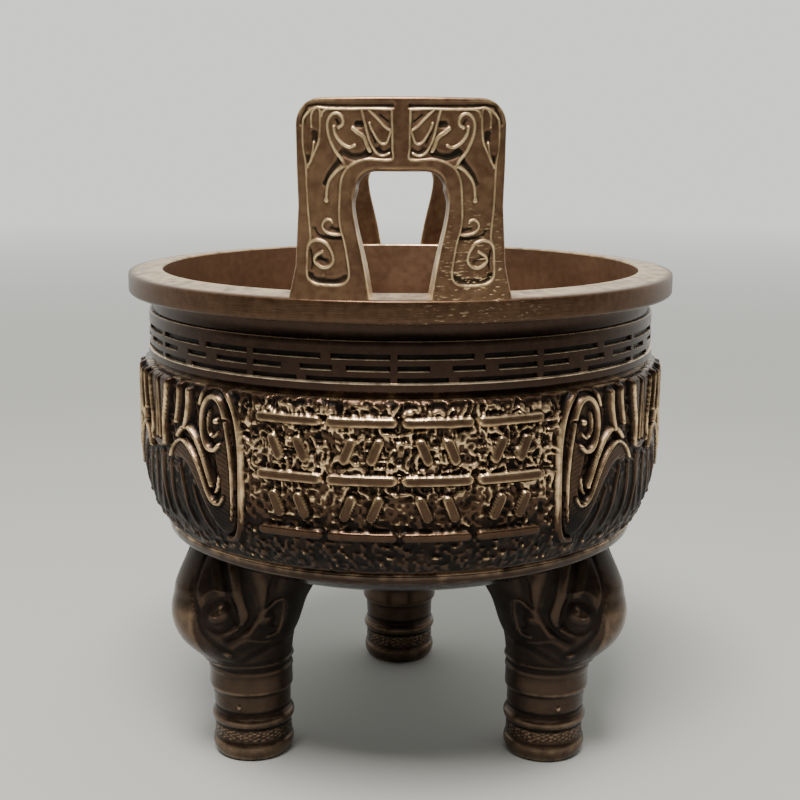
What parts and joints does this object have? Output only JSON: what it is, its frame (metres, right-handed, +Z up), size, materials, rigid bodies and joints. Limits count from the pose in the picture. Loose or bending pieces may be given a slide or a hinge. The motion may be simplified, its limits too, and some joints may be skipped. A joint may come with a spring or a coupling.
{
  "type": "cast bronze ding vessel, small modern desk copy",
  "caption": "Round three-legged cast bronze bowl with a flat rim and two upright ears, carved with masks and a meander band.",
  "frame": {"origin": "on the table, under the middle of the bowl", "axes": "+Z up through the bowl, -Y towards the front with the rows of strokes, the two ears on -Y and +Y"},
  "size_m": [0.106, 0.106, 0.126],
  "materials": {
    "patinated_bronze": "dark brown patina, rubbed to warm bronze on the raised edges"
  },
  "bodies": {
    "root": {"ding_vessel": "patinated_bronze"}
  },
  "joints": []
}
